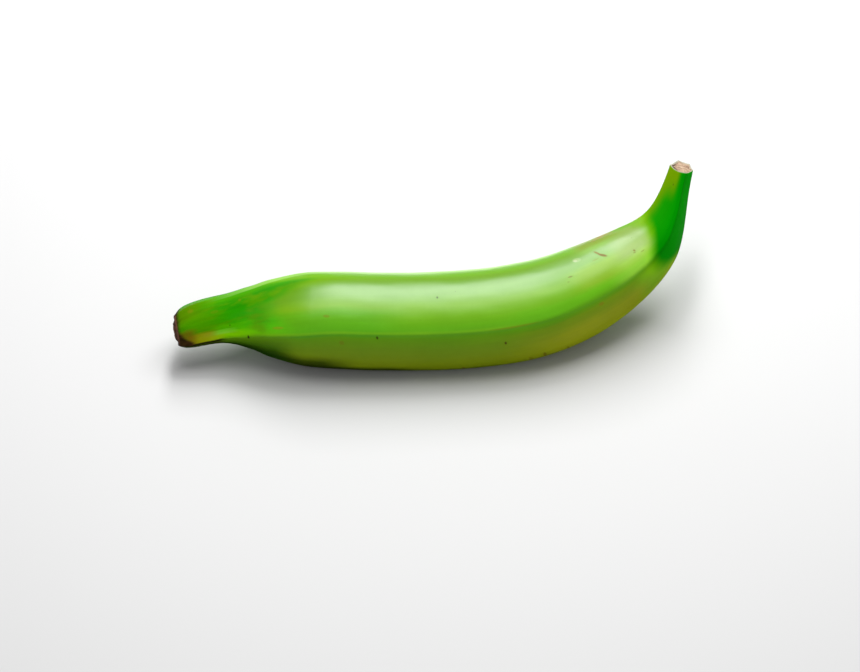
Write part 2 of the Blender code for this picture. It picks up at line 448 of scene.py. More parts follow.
STEM_GREENS = (
    (-1.00, (0.020, 0.220, 0.000, 1.0)),
    (-0.35, (0.060, 0.235, 0.000, 1.0)),
    (0.00, (0.100, 0.245, 0.000, 1.0)),
    (0.10, (0.080, 0.215, 0.000, 1.0)),
    (0.22, (0.042, 0.200, 0.000, 1.0)),
    (0.34, (0.014, 0.195, 0.000, 1.0)),
    (0.45, (0.004, 0.190, 0.000, 1.0)),
    (0.86, (0.001, 0.190, 0.000, 1.0)),
    (0.94, (0.000, 0.165, 0.000, 1.0)),
    (1.03, (0.000, 0.190, 0.000, 1.0)),
    (1.12, (0.000, 0.240, 0.000, 1.0)),
    (1.40, (0.000, 0.270, 0.000, 1.0)),
    (1.80, (0.000, 0.280, 0.000, 1.0)),
    (2.20, (0.002, 0.220, 0.000, 1.0)),
    (4.00, (0.020, 0.220, 0.000, 1.0)),
)
# The neck's greens. On its lower side, from 1.35 to 1.7 round it, they are nearly black: painted shade.
NECK_GREENS_AND_SHADE = (
    (-1.00, (0.020, 0.240, 0.000, 1.0)),
    (-0.10, (0.060, 0.300, 0.000, 1.0)),
    (0.12, (0.048, 0.275, 0.000, 1.0)),
    (0.20, (0.022, 0.225, 0.000, 1.0)),
    (0.38, (0.014, 0.220, 0.000, 1.0)),
    (0.52, (0.020, 0.280, 0.000, 1.0)),
    (0.68, (0.030, 0.345, 0.000, 1.0)),
    (0.80, (0.032, 0.410, 0.000, 1.0)),
    (0.88, (0.080, 0.500, 0.000, 1.0)),
    (0.95, (0.120, 0.500, 0.000, 1.0)),
    (1.00, (0.110, 0.400, 0.000, 1.0)),
    (1.04, (0.140, 0.345, 0.000, 1.0)),
    (1.10, (0.120, 0.300, 0.000, 1.0)),
    (1.20, (0.100, 0.240, 0.000, 1.0)),
    (1.35, (0.065, 0.180, 0.000, 1.0)),
    (1.50, (0.035, 0.100, 0.000, 1.0)),
    (1.70, (0.018, 0.070, 0.000, 1.0)),
    (2.00, (0.030, 0.120, 0.000, 1.0)),
    (2.50, (0.050, 0.220, 0.000, 1.0)),
    (4.00, (0.020, 0.240, 0.000, 1.0)),
)
# The neck is mottled with olive blotches, drawn out along it, except on its lower side.
NECK_BLOTCHES = (0.120, 0.245, 0.000, 1.0)
BLOTCH_SIZE, BLOTCH_STRETCH = 0.0055, (0.5, 1.0, 1.0)
BLOTCH_STARTS, BLOTCH_FULL, BLOTCH_STRENGTH = -0.10, 0.70, 0.60
BLOTCHED_ROUND, BLOTCHED_SOFTNESS = (-1.0, 0.95), (0.1, 0.2)
# Where the neck's green ends, the stem's green starts and the dried tip ends along the fruit, round it.
NECK_STOPS = (
    (-1.0, 0.150),
    (0.05, 0.135),
    (0.20, 0.230),
    (0.35, 0.190),
    (0.50, 0.160),
    (0.70, 0.168),
    (0.88, 0.185),
    (1.00, 0.200),
    (1.10, 0.190),
    (1.50, 0.200),
    (2.00, 0.200),
    (4.00, 0.150),
)
NECK_SOFTNESS = 0.055
STEM_STARTS = (
    (-1.0, 0.870),
    (0.00, 0.905),
    (0.30, 0.888),
    (0.50, 0.880),
    (0.70, 0.866),
    (0.85, 0.852),
    (1.00, 0.836),
    (1.20, 0.836),
    (1.40, 0.842),
    (1.80, 0.868),
    (2.20, 0.880),
    (4.00, 0.870),
)
STEM_SOFTNESS = 0.034
TIP_STOPS = (
    (-1.0, 0.014),
    (-0.1, 0.006),
    (0.50, 0.001),
    (0.65, 0.003),
    (0.80, 0.009),
    (0.88, 0.015),
    (0.94, 0.021),
    (1.00, 0.023),
    (1.07, 0.010),
    (1.15, 0.004),
    (1.60, 0.004),
    (2.80, 0.012),
    (4.00, 0.014),
)
TIP_SOFTNESS = 0.010
DRIED_BROWNS = ((0.35, (0.030, 0.011, 0.004, 1.0)), (0.75, (0.060, 0.022, 0.006, 1.0)))
DRIED_MOTTLING = 0.4
# Soft-edged patches, laid over one another in turn: a colour and how strong it is, from where to where
# along the fruit and how soft those edges are, and the same round it.
PATCHES = (
    # yellower along the lower part of the upper face, towards the stem, and greener by the main ridge
    ((0.220, 0.380, 0.000, 1.0), 0.65, (0.70, 0.84), (0.06, 0.04), (0.56, 0.86), (0.10, 0.10)),
    ((0.120, 0.460, 0.000, 1.0), 0.45, (0.58, 0.74), (0.05, 0.05), (0.84, 0.97), (0.08, 0.04)),
    # painted highlight: a pale patch on the shoulder; then yellow-green where the stem begins
    ((0.240, 0.330, 0.080, 1.0), 0.60, (0.795, 0.862), (0.06, 0.03), (0.12, 0.86), (0.14, 0.16)),
    ((0.150, 0.330, 0.000, 1.0), 0.55, (0.862, 0.910), (0.02, 0.04), (-0.30, 0.80), (0.20, 0.20)),
    # more painted highlight: pale patches before the shoulder and by the main ridge
    ((0.240, 0.430, 0.075, 1.0), 0.60, (0.735, 0.800), (0.06, 0.05), (0.12, 0.36), (0.10, 0.14)),
    ((0.330, 0.620, 0.050, 1.0), 0.50, (0.775, 0.845), (0.05, 0.04), (0.74, 1.02), (0.12, 0.10)),
    # a brownish blush by the inner ridge, before the stem
    ((0.175, 0.235, 0.004, 1.0), 0.75, (0.735, 0.815), (0.03, 0.05), (-0.20, 0.24), (0.10, 0.10)),
    # ochre on the lower side, paler towards the main ridge
    ((0.355, 0.410, 0.000, 1.0), 0.95, (0.60, 0.81), (0.14, 0.06), (1.28, 2.15), (0.24, 0.30)),
    ((0.270, 0.360, 0.000, 1.0), 0.50, (0.58, 0.79), (0.10, 0.04), (1.10, 1.30), (0.08, 0.10)),
    ((0.240, 0.590, 0.000, 1.0), 0.80, (0.80, 0.88), (0.06, 0.04), (1.10, 2.10), (0.20, 0.20)),
    # painted light: a paler ochre strip along the bottom towards the stem, where the floor shades it
    ((0.420, 0.540, 0.000, 1.0), 0.60, (0.70, 0.87), (0.10, 0.04), (1.75, 2.05), (0.18, 0.16)),
    # a deeper green above the main ridge, towards the neck
    ((0.085, 0.400, 0.000, 1.0), 0.55, (0.17, 0.37), (0.06, 0.10), (0.72, 1.04), (0.12, 0.04)),
    # painted shade: the lower side darkens towards the neck, in the shade under the fruit
    ((0.034, 0.064, 0.000, 1.0), 0.88, (0.10, 0.29), (0.04, 0.07), (1.56, 2.20), (0.30, 0.24)),
    ((0.038, 0.066, 0.000, 1.0), 0.88, (0.22, 0.41), (0.05, 0.09), (1.80, 2.10), (0.18, 0.22)),
    ((0.060, 0.100, 0.000, 1.0), 0.60, (0.36, 0.52), (0.06, 0.08), (1.91, 2.06), (0.10, 0.14)),
)
# Laid over the neck, the tip and the stem: olive by the cut and at the top of the tip, a bright streak
# along the neck's ridge, partly paler skin and partly painted highlight, the yellow and brown fringe of
# the dried end, and painted shade in dark olive under it.
END_PATCHES = (
    ((0.110, 0.215, 0.000, 1.0), 0.95, (0.962, 1.20), (0.055, 0.02), (-0.80, 0.74), (0.30, 0.26)),
    ((0.085, 0.190, 0.000, 1.0), 0.80, (-0.10, 0.050), (0.01, 0.05), (-0.30, 0.40), (0.10, 0.16)),
    # partly painted highlight: the bright streak along the neck's ridge
    ((0.240, 0.620, 0.000, 1.0), 0.70, (0.03, 0.125), (0.03, 0.05), (0.86, 1.02), (0.10, 0.04)),
    ((0.280, 0.640, 0.060, 1.0), 0.55, (0.042, 0.098), (0.02, 0.03), (0.80, 0.90), (0.05, 0.05)),
    ((0.075, 0.270, 0.000, 1.0), 0.70, (-0.10, 0.070), (0.01, 0.070), (0.30, 0.82), (0.15, 0.10)),
    ((0.130, 0.560, 0.000, 1.0), 0.45, (0.060, 0.130), (0.03, 0.04), (0.70, 0.87), (0.08, 0.05)),
    ((0.330, 0.260, 0.004, 1.0), 0.75, (0.012, 0.062), (0.014, 0.024), (0.78, 1.00), (0.09, 0.05)),
    ((0.190, 0.085, 0.004, 1.0), 0.70, (-0.10, 0.026), (0.01, 0.020), (0.62, 0.99), (0.16, 0.04)),
    ((0.330, 0.470, 0.004, 1.0), 0.60, (0.046, 0.078), (0.020, 0.020), (0.90, 1.00), (0.05, 0.04)),
    # painted shade under the tip
    ((0.046, 0.066, 0.002, 1.0), 0.92, (-0.10, 0.078), (0.01, 0.030), (1.03, 2.30), (0.05, 0.40)),
    ((0.022, 0.007, 0.002, 1.0), 0.95, (-0.10, 0.078), (0.01, 0.020), (0.985, 1.10), (0.03, 0.05)),
)
# Small marks: place, faces round, half its length and half its width in metres, how far it leans
# along the fruit per metre round it, its colour and how strong it is.
MARKS = (
    (0.4530, 0.560, 0.00050, 0.00042, 0.0, (0.030, 0.045, 0.006, 1.0), 0.85),
    (0.1250, 1.040, 0.00055, 0.00160, 0.1, (0.020, 0.012, 0.000, 1.0), 0.90),
    (0.3490, 1.050, 0.00050, 0.00070, 0.2, (0.045, 0.030, 0.000, 1.0), 0.85),
    (0.5625, 1.250, 0.00050, 0.00075, 0.1, (0.070, 0.022, 0.000, 1.0), 0.90),
    (0.8210, 0.700, 0.00055, 0.00060, 0.3, (0.170, 0.110, 0.006, 1.0), 0.75),
    (0.8190, 0.730, 0.00070, 0.00040, 0.8, (0.170, 0.110, 0.010, 1.0), 0.50),
    (0.8320, 0.790, 0.00110, 0.00022, 0.9, (0.170, 0.130, 0.010, 1.0), 0.55),
    (0.7625, 0.430, 0.00065, 0.00150, 0.6, (0.180, 0.120, 0.006, 1.0), 0.90),
    (0.7685, 0.505, 0.00100, 0.00140, 1.0, (0.170, 0.100, 0.006, 1.0), 0.95),
    (0.7530, 0.520, 0.00200, 0.00028, 0.4, (0.180, 0.190, 0.008, 1.0), 0.50),
    (0.6960, 0.600, 0.00120, 0.00030, 1.2, (0.130, 0.130, 0.008, 1.0), 0.75),
    (0.6890, 0.655, 0.00060, 0.00025, 0.6, (0.140, 0.130, 0.008, 1.0), 0.45),
    (0.7220, 0.395, 0.00200, 0.00110, 0.5, (0.500, 0.560, 0.330, 1.0), 0.26),
    (0.7190, 0.400, 0.00090, 0.00060, 0.5, (0.560, 0.520, 0.380, 1.0), 0.35),
    (0.7850, 0.090, 0.00280, 0.00070, 0.3, (0.330, 0.190, 0.070, 1.0), 0.75),
    (0.7950, 0.055, 0.00340, 0.00050, 0.2, (0.310, 0.160, 0.060, 1.0), 0.80),
    (0.8080, 0.070, 0.00260, 0.00045, 0.3, (0.320, 0.180, 0.060, 1.0), 0.75),
    (0.7720, 0.120, 0.00160, 0.00080, 0.4, (0.280, 0.190, 0.060, 1.0), 0.45),
    (0.2610, 0.790, 0.00150, 0.00050, 0.8, (0.240, 0.120, 0.010, 1.0), 0.40),
    (0.1780, 0.890, 0.00260, 0.00050, 0.5, (0.330, 0.230, 0.012, 1.0), 0.40),
    (0.2890, 1.150, 0.00110, 0.00100, 0.2, (0.240, 0.130, 0.008, 1.0), 0.32),
    (0.7250, 1.120, 0.00120, 0.00080, 0.2, (0.330, 0.170, 0.010, 1.0), 0.45),
    (0.6220, 1.820, 0.00070, 0.00300, 0.1, (0.130, 0.060, 0.004, 1.0), 0.60),
    (0.6010, 1.860, 0.00090, 0.00260, 0.2, (0.150, 0.080, 0.004, 1.0), 0.45),
    (0.6580, 1.880, 0.00060, 0.00240, 0.1, (0.140, 0.070, 0.004, 1.0), 0.45),
    (0.4940, 1.880, 0.00080, 0.00160, 0.2, (0.180, 0.085, 0.004, 1.0), 0.45),
    (0.5800, 0.995, 0.01100, 0.00030, 0.0, (0.210, 0.190, 0.008, 1.0), 0.45),
    (0.8880, 0.000, 0.00150, 0.00120, 0.0, (0.300, 0.160, 0.020, 1.0), 0.50),
    (0.9730, 0.550, 0.00060, 0.00050, 0.0, (0.030, 0.020, 0.006, 1.0), 0.85),
    (0.9660, 0.420, 0.00050, 0.00030, 0.0, (0.060, 0.050, 0.006, 1.0), 0.50),
    (0.0290, 0.120, 0.00150, 0.00140, 0.2, (0.230, 0.190, 0.006, 1.0), 0.32),
    (0.0680, 0.340, 0.00190, 0.00120, 0.3, (0.160, 0.200, 0.004, 1.0), 0.26),
    (0.1120, 0.240, 0.00070, 0.00090, 0.2, (0.180, 0.190, 0.004, 1.0), 0.30),
    (0.0920, 0.760, 0.00035, 0.00050, 0.0, (0.050, 0.070, 0.004, 1.0), 0.70),
    (0.0150, 0.600, 0.00120, 0.00080, 0.0, (0.130, 0.180, 0.006, 1.0), 0.45),
)
# How far out a mark's edge starts and where it is full, in squares of its half sizes, and how ragged.
MARK_OUTSIDE, MARK_INSIDE, MARK_RAGGED = 1.5, 0.3, 0.35
# Pale, broken lines along the ridges. Those on the first ridge, along the upper edge, and on the main
# ridge are partly painted highlight, a glint along the edge and the crest; the rest are the ridges' own
# paler colour. For each: where it is round the fruit, half its width in faces, from where to where
# along the fruit, its colour, and how strong it is.
RIDGE_LINES_AND_GLINTS = (
    (0.035, 0.040, (0.10, 0.72), (0.300, 0.560, 0.120, 1.0), 0.75),
    (0.985, 0.016, (0.12, 0.60), (0.230, 0.540, 0.005, 1.0), 0.50),
    (2.00, 0.030, (0.30, 0.70), (0.200, 0.400, 0.010, 1.0), 0.20),
    (3.00, 0.035, (0.10, 0.86), (0.260, 0.520, 0.020, 1.0), 0.50),
    (4.00, 0.035, (0.10, 0.86), (0.260, 0.520, 0.020, 1.0), 0.50),
    (-1.0, 0.035, (0.10, 0.86), (0.260, 0.520, 0.020, 1.0), 0.50),
)
# How much they waver, how soft their sides are, over how much they fade at their ends, and how strong
# they are on the whole and with the clouds.
LINE_WANDER, LINE_SOFTNESS, LINE_FADE, LINE_BASE, LINE_CLOUDS = 0.006, 0.03, 0.10, 0.8, 0.3
# Patterns are drawn as on a round tube as wide as the body, so that they meet all the way round.
BODY_RADIUS = 0.0215
FACE_WIDTH = 2 * math.pi * BODY_RADIUS / FACES
# Unevenness of the colour, each with the size of its pattern in metres: broad clouds, mottling and
# fibres. Then how much each lightens and darkens it, and how much redder the clouds are.
BROAD, MOTTLED, FIBRE_LENGTH, FIBRE_WIDTH = 0.022, 0.0022, 0.0300, 0.0011
CLOUD_SHADE, MOTTLE_SHADE, FIBRE_SHADE, CLOUD_REDNESS = 0.045, 0.030, 0.045, 0.03
NOISE_SPREAD = 2.5  # a noise keeps close to its middle, and this spreads it to about -1 to 1
# How far the edges and the colours wander, along the fruit or in faces round it. The wander reads the
# clouds' noise at another place.
WANDER_SHIFT = (0.4, 0.1, 0.2)
EDGE_WANDER_ALONG, EDGE_WANDER_ROUND, CLOUDS_IN_EDGES = 0.010, 0.060, 0.6
BODY_GREENS_WANDER, NECK_GREENS_WANDER = 0.02, 0.03
STEM_WANDER, END_WANDER, TIP_WANDER, TIP_FRAY = 0.0025, 0.004, 0.003, 0.0015
# A cell has a speck when its chance is above a limit, and the speck is wider with a higher chance.
SPECK_SPACING, SPECK_CHANCE = 0.0062, 0.60
SPECK_SIZE_FROM, SPECK_GROWTH, SPECK_CORE = 0.55, 0.14, 0.4
SPECK_COLOUR, SPECK_STRENGTH, SPECK_SCUFF = (0.060, 0.070, 0.004, 1.0), 0.55, 0.6
# The wax shines on the body only: from where to where along the fruit, by the place round it.
WAX, WAX_MOTTLING, WAX_ROUGHNESS, WAX_IOR = 0.97, 0.05, 0.36, 1.5
SHINE_STARTS = (
    (-1.0, 0.200),
    (0.08, 0.220),
    (0.25, 0.290),
    (0.36, 0.236),
    (0.46, 0.186),
    (0.56, 0.156),
    (1.00, 0.180),
    (4.00, 0.200),
)
SHINE_SOFTNESS = 0.17
SHINE_STOPS_BEFORE, SHINE_STOP_SOFTNESS = 0.016, 0.030  # before the stem's green starts
# It is duller underneath, where something has scuffed it, and where it is rubbed: in one place, below
# the middle of the upper face towards the stem.
UNDERSIDE, UNDERSIDE_SOFTNESS, SHINE_BELOW = (1.03, 3.9), (0.06, 0.4), 0.35
SCUFF_DULLS = 0.7
RUBBED_ALONG, RUBBED_ALONG_SOFTNESS = (0.655, 0.785), (0.09, 0.06)
RUBBED_ROUND, RUBBED_ROUND_SOFTNESS = (0.44, 0.66), (0.12, 0.14)
RUBBED = 0.22
# Under the wax the skin is half matt, and it is matt on the stem and where it is dried.
SKIN_ROUGHNESS, CLOUD_ROUGHNESS, MOTTLE_ROUGHNESS = 0.50, 0.04, 0.03
DRIED_ROUGHER, STEM_ROUGHER = 0.3, 0.4
SKIN_IOR, SKIN_SPECULAR, SKIN_SHEEN_TINT = 1.4, 0.15, (0.05, 1.00, 0.00, 1.0)
MOTTLE_HEIGHT, FIBRE_HEIGHT, SPECK_DEPTH = 0.4, 0.6, 0.8
SKIN_BUMP = {"Strength": 0.35, "Distance": 0.00006}


class Value:
    """One output of a material's nodes. Arithmetic on it adds the Math node that works it out."""

    def __init__(self, tree, socket=None):
        self.tree = tree
        self.socket = socket

    def add(self, kind, settings, sockets, output=0):
        """Adds a node. Its settings are set first, then its sockets take their values or links."""
        made = self.tree.nodes.new("ShaderNode" + kind)
        for name, setting in settings.items():
            if name != "stops":
                setattr(made, name, setting)
                continue
            for number, (position, colour) in enumerate(setting):
                if number > 1:
                    made.color_ramp.elements.new(position)
                made.color_ramp.elements[number].position = position
            for number, (position, colour) in enumerate(setting):
                made.color_ramp.elements[number].color = colour
        for name, given in sockets.items():
            if isinstance(given, Value):
                self.tree.links.new(given.socket, made.inputs[name])
            else:
                made.inputs[name].default_value = given
        return Value(self.tree, made.outputs[output])

    def feed(self, shader, name):
        """Links it to one of the sockets of the finish's own shader."""
        self.tree.links.new(self.socket, shader.inputs[name])

    def maths(self, operation, *values):
        return self.add("Math", {"operation": operation}, dict(enumerate(values)))

    def __add__(self, other):
        return self.maths("ADD", self, other)

    def __radd__(self, other):
        return self.maths("ADD", other, self)

    def __sub__(self, other):
        return self.maths("SUBTRACT", self, other)

    def __rsub__(self, other):
        return self.maths("SUBTRACT", other, self)

    def __mul__(self, other):
        return self.maths("MULTIPLY", self, other)

    def __rmul__(self, other):
        return self.maths("MULTIPLY", other, self)

    def __truediv__(self, other):
        return self.maths("DIVIDE", self, other)

    def __rtruediv__(self, other):
        return self.maths("DIVIDE", other, self)


def new_finish(name):
    """The shader of a new finish of the fruit, and the start of the expressions that feed it."""
    made = bpy.data.materials.new(name)
    made.use_nodes = True
    sheet.materials.append(made)
    return made.node_tree.nodes["Principled BSDF"], Value(made.node_tree)


def wide_noise(vector, size, detail=2.0):
    """Noise between about -1 and 1, with a pattern of this size in metres."""
    found = vector.add("TexNoise", {}, {"Vector": vector, "Scale": 1 / size, "Detail": detail})
    return (found - 0.5) * NOISE_SPREAD


def scaled(vector, factors):
    """A vector with each of its three parts multiplied by its own factor."""
    return vector.add("VectorMath", {"operation": "MULTIPLY"}, {0: vector, 1: factors})


def part_of(vector, number):
    """One of a vector's three parts."""
    return vector.add("SeparateXYZ", {}, {0: vector}, output=number)


def eased(value, starts, ends, low=0.0, high=1.0):
    """It goes smoothly from low to high, while the value goes from where it starts to where it ends."""
    smooth = {"interpolation_type": "SMOOTHSTEP"}
    return value.add("MapRange", smooth, {0: value, 1: starts, 2: ends, 3: low, 4: high})


def beyond(value, limit, softness):
    """One past a limit and nothing before it, with a soft edge."""
    return eased(value, limit - softness / 2, limit + softness / 2)


def up_to(value, limit, softness):
    """One before a limit and nothing past it, with a soft edge."""
    return eased(value, limit - softness / 2, limit + softness / 2, 1.0, 0.0)


def band(value, limits, softness):
    """One between two limits of a value and nothing outside them, with soft edges."""
    return beyond(value, limits[0], softness[0]) * up_to(value, limits[1], softness[1])


def over(below, above, share):
    """A colour with another laid over it."""
    return share.add("Mix", {"data_type": "RGBA"}, {0: share, 6: below, 7: above}, output=2)


def patched(below, patches, along_it, round_it):
    """A colour with soft-edged patches laid over it in turn."""
    for tint, strength, along, along_softness, across, across_softness in patches:
        covered = band(along_it, along, along_softness) * band(round_it, across, across_softness)
        below = over(below, tint, covered * strength)
    return below


def round_ramp(value, stops):
    """A colour or a number that goes by the place round the fruit."""
    found = []
    for position, given in stops:
        colour = (given, given, given, 1.0) if isinstance(given, float) else given
        found.append(((position + 1) / FACES, colour))
    return value.add("ValToRGB", {"stops": found}, {0: (value + 1.0) / FACES})


shader, start = new_finish("green waxy peel")
mapped = start.add("UVMap", {"uv_map": "peel_map"}, {})
place = part_of(mapped, 0)
counted = part_of(mapped, 1)
around = counted - counted.maths("GREATER_THAN", counted, FACES - 1.0) * float(FACES)
turn = around * (2 * math.pi / FACES)
on_tube = {
    0: place * LENGTH,
    1: turn.maths("COSINE", turn) * BODY_RADIUS,
    2: turn.maths("SINE", turn) * BODY_RADIUS,
}
metres = start.add("CombineXYZ", {}, on_tube)
broad = wide_noise(metres, BROAD)
mottled = wide_noise(metres, MOTTLED, detail=4.0)
fibres = wide_noise(scaled(metres, (FIBRE_WIDTH / FIBRE_LENGTH, 1.0, 1.0)), FIBRE_WIDTH, detail=3.0)
# The patches' edges wander with a noise of their own.
shifted = start.add("VectorMath", {"operation": "ADD"}, {0: metres, 1: WANDER_SHIFT})
wander = wide_noise(shifted, BROAD / 2, detail=4.0)
wandering_place = place + wander * EDGE_WANDER_ALONG
uneven = broad * CLOUDS_IN_EDGES + fibres * (1 - CLOUDS_IN_EDGES)
wandering_round = around + uneven * EDGE_WANDER_ROUND

colour = round_ramp(around + broad * BODY_GREENS_WANDER, BODY_GREENS_AND_SHADE)
colour = patched(colour, PATCHES, wandering_place, wandering_round)

on_neck = up_to(wandering_place, round_ramp(around, NECK_STOPS), NECK_SOFTNESS)
colour = over(colour, round_ramp(around + broad * NECK_GREENS_WANDER, NECK_GREENS_AND_SHADE), on_neck)
clouded = wide_noise(scaled(metres, BLOTCH_STRETCH), BLOTCH_SIZE, detail=3.0)
blotches = eased(clouded, BLOTCH_STARTS, BLOTCH_FULL, high=BLOTCH_STRENGTH)
blotches = blotches * on_neck * band(around, BLOTCHED_ROUND, BLOTCHED_SOFTNESS)
colour = over(colour, NECK_BLOTCHES, blotches)

stem_start = round_ramp(around, STEM_STARTS)
on_stem = beyond(place + (broad + fibres) * STEM_WANDER, stem_start, STEM_SOFTNESS)
colour = over(colour, round_ramp(around, STEM_GREENS), on_stem)
colour = patched(colour, END_PATCHES, place + wander * END_WANDER, wandering_round)

# The pale ridge lines, partly painted highlight, waver with the fibres, come and go with the clouds, and
# fade at both ends.
for position, half_width, along, tint, strength in RIDGE_LINES_AND_GLINTS:
    sides = (position - half_width, position + half_width)
    line = band(around + fibres * LINE_WANDER, sides, (LINE_SOFTNESS, LINE_SOFTNESS))
    line = line * band(place, along, (LINE_FADE, LINE_FADE))
    colour = over(colour, tint, line * strength * (LINE_BASE + broad * LINE_CLOUDS))

# Brightness: broad clouds, which are a little redder, mottling and fibres.
light = 1.0 + broad * CLOUD_SHADE + mottled * MOTTLE_SHADE + fibres * FIBRE_SHADE
shade = start.add("CombineXYZ", {}, {0: light + broad * CLOUD_REDNESS, 1: light, 2: light})
multiply = {"data_type": "RGBA", "blend_type": "MULTIPLY"}
colour = start.add("Mix", multiply, {0: 1.0, 6: colour, 7: shade}, output=2)

# Specks are scattered, at most one in a small cell. Its chance says if it has one, and how wide.
cells = {"Vector": metres, "Scale": 1 / SPECK_SPACING}
from_speck = start.add("TexVoronoi", {}, cells, output=0)
chance = part_of(start.add("TexVoronoi", {}, cells, output=1), 0)
speck_size = (chance - SPECK_SIZE_FROM) * SPECK_GROWTH
speck_edge = {0: from_speck, 1: speck_size, 2: speck_size * SPECK_CORE, 3: 0.0, 4: 1.0}
specks = start.add("MapRange", {}, speck_edge)
specks = specks * chance.maths("GREATER_THAN", chance, SPECK_CHANCE)
colour = over(colour, SPECK_COLOUR, specks * SPECK_STRENGTH)

# The marks and the specks have lost their wax.
scuffed = specks * SPECK_SCUFF
for mark_place, mark_round, length, width, lean, tint, strength in MARKS:
    up = (around - mark_round) * FACE_WIDTH
    along = (place - mark_place) * LENGTH - up * lean
    reach = (along / length) * (along / length) + (up / width) * (up / width)
    mark = eased(reach + wander * MARK_RAGGED, MARK_OUTSIDE, MARK_INSIDE) * strength
    colour = over(colour, tint, mark)
    scuffed = scuffed.maths("MAXIMUM", scuffed, mark)

wandering_tip = place + wander * TIP_WANDER + fibres * TIP_FRAY
dried = up_to(wandering_tip, round_ramp(around, TIP_STOPS), TIP_SOFTNESS)
crusted = start.add("ValToRGB", {"stops": DRIED_BROWNS}, {0: mottled * DRIED_MOTTLING + 0.5})
colour = over(colour, crusted, dried)

on_body = beyond(wandering_place, round_ramp(around, SHINE_STARTS), SHINE_SOFTNESS)
on_body = on_body * up_to(place, stem_start - SHINE_STOPS_BEFORE, SHINE_STOP_SOFTNESS)
rubbed = band(place, RUBBED_ALONG, RUBBED_ALONG_SOFTNESS)
rubbed = rubbed * band(around, RUBBED_ROUND, RUBBED_ROUND_SOFTNESS)
underneath = band(around, UNDERSIDE, UNDERSIDE_SOFTNESS)
shine = on_body * (1.0 - rubbed * RUBBED) * (1.0 - dried) * (1.0 - scuffed * SCUFF_DULLS)
shine = shine * (1.0 - underneath * (1.0 - SHINE_BELOW))
roughness = SKIN_ROUGHNESS + broad * CLOUD_ROUGHNESS + mottled * MOTTLE_ROUGHNESS
roughness = roughness + dried * DRIED_ROUGHER + on_stem * STEM_ROUGHER
height = mottled * MOTTLE_HEIGHT + fibres * FIBRE_HEIGHT - specks * SPECK_DEPTH
bump = start.add("Bump", {}, {**SKIN_BUMP, "Height": height})

colour.feed(shader, "Base Color")
roughness.feed(shader, "Roughness")
(shine * (WAX + mottled * WAX_MOTTLING)).feed(shader, "Coat Weight")
bump.feed(shader, "Normal")
shader.inputs["IOR"].default_value = SKIN_IOR
shader.inputs["Specular IOR Level"].default_value = SKIN_SPECULAR
shader.inputs["Specular Tint"].default_value = SKIN_SHEEN_TINT
shader.inputs["Coat IOR"].default_value = WAX_IOR
shader.inputs["Coat Roughness"].default_value = WAX_ROUGHNESS

# Its two ends. The blossom end is a dried scar, nearly black and crusted, tan on its upper side and in
# a stub in the middle. The stem was cut through with a knife: dull beige pith with brown strands, a
# groove between the pith and the rim of peel that is painted dark as shade, fullest on one side, and a
# rim of greyish peel with a green edge. Both finishes read the end's own flat map, which counts from 0
# in the middle to 1 at the peel, with its second number upwards.
# What is laid over an end: its colour, how strong it is, its limit and how soft and ragged that is.
# The scar has crust, a stub, a darker edge and a tan upper side.
SCAR_CRUST = {"Scale": 7.0, "Detail": 6.0, "Roughness": 0.7}
SCAR_BROWNS = (
    (0.36, (0.020, 0.004, 0.001, 1.0)),
    (0.54, (0.050, 0.014, 0.004, 1.0)),
    (0.74, (0.160, 0.070, 0.025, 1.0)),
)
SCAR_STUB = ((0.240, 0.105, 0.040, 1.0), 0.85, 0.50, 0.16, 0.5)
SCAR_EDGE = ((0.040, 0.010, 0.003, 1.0), 0.60, 0.93, 0.08, 0.2)
SCAR_UPPER_SIDE = ((0.180, 0.070, 0.030, 1.0), 0.75, 0.50, 0.50, 0.9)
SCAR_BASE_ROUGHNESS, SCAR_CRUST_ROUGHNESS = 0.75, 0.2
SCAR_BUMP = {"Strength": 0.8, "Distance": 0.0005}
# The cut has strands, which are drawn out sideways, a fine grain, the rim, the painted shade in the
# groove and the green edge.
PITH_STRANDS = {"Scale": 3.4, "Detail": 4.0, "Roughness": 0.65, "Distortion": 0.6}
STRAND_STRETCH = (0.45, 1.3, 1.0)
PITH_GRAIN = {"Scale": 14.0, "Detail": 5.0, "Roughness": 0.7}
PITH_BROWNS = (
    (0.36, (0.150, 0.080, 0.045, 1.0)),
    (0.47, (0.360, 0.235, 0.150, 1.0)),
    (0.62, (0.520, 0.390, 0.270, 1.0)),
)
PITH_RIM = ((0.380, 0.365, 0.270, 1.0), 0.85, 0.86, 0.06, 0.06)
PITH_GAP_SHADE = ((0.060, 0.034, 0.018, 1.0), 1.00, (0.72, 0.86), (0.06, 0.06), 0.10)
PITH_EDGE = ((0.090, 0.160, 0.020, 1.0), 0.60, 0.965, 0.03, 0.04)
# The painted shade in the groove is faint all round and full on one side: how much that side goes by
# the map's two numbers, then its limit and how soft and ragged that is.
GAP_FAINT = 0.12
GAP_INWARDS, GAP_UPWARDS, GAP_LIMIT, GAP_SOFTNESS, GAP_RAGGED = 0.7, 0.6, 0.25, 0.6, 0.3
PITH_BASE_ROUGHNESS, PITH_GRAIN_ROUGHNESS = 0.60, 0.25
PITH_BUMP, GRAIN_HEIGHT = {"Strength": 0.7, "Distance": 0.0003}, 0.5


def laid_over(below, layer, limited, value, uneven, part=1.0):
    """A colour with one layer over it, on the side of the layer's ragged limit that is asked for."""
    tint, strength, limit, softness, ragged = layer
    covered = limited(value + (uneven - 0.5) * ragged, limit, softness)
    return over(below, tint, covered * (part * strength))


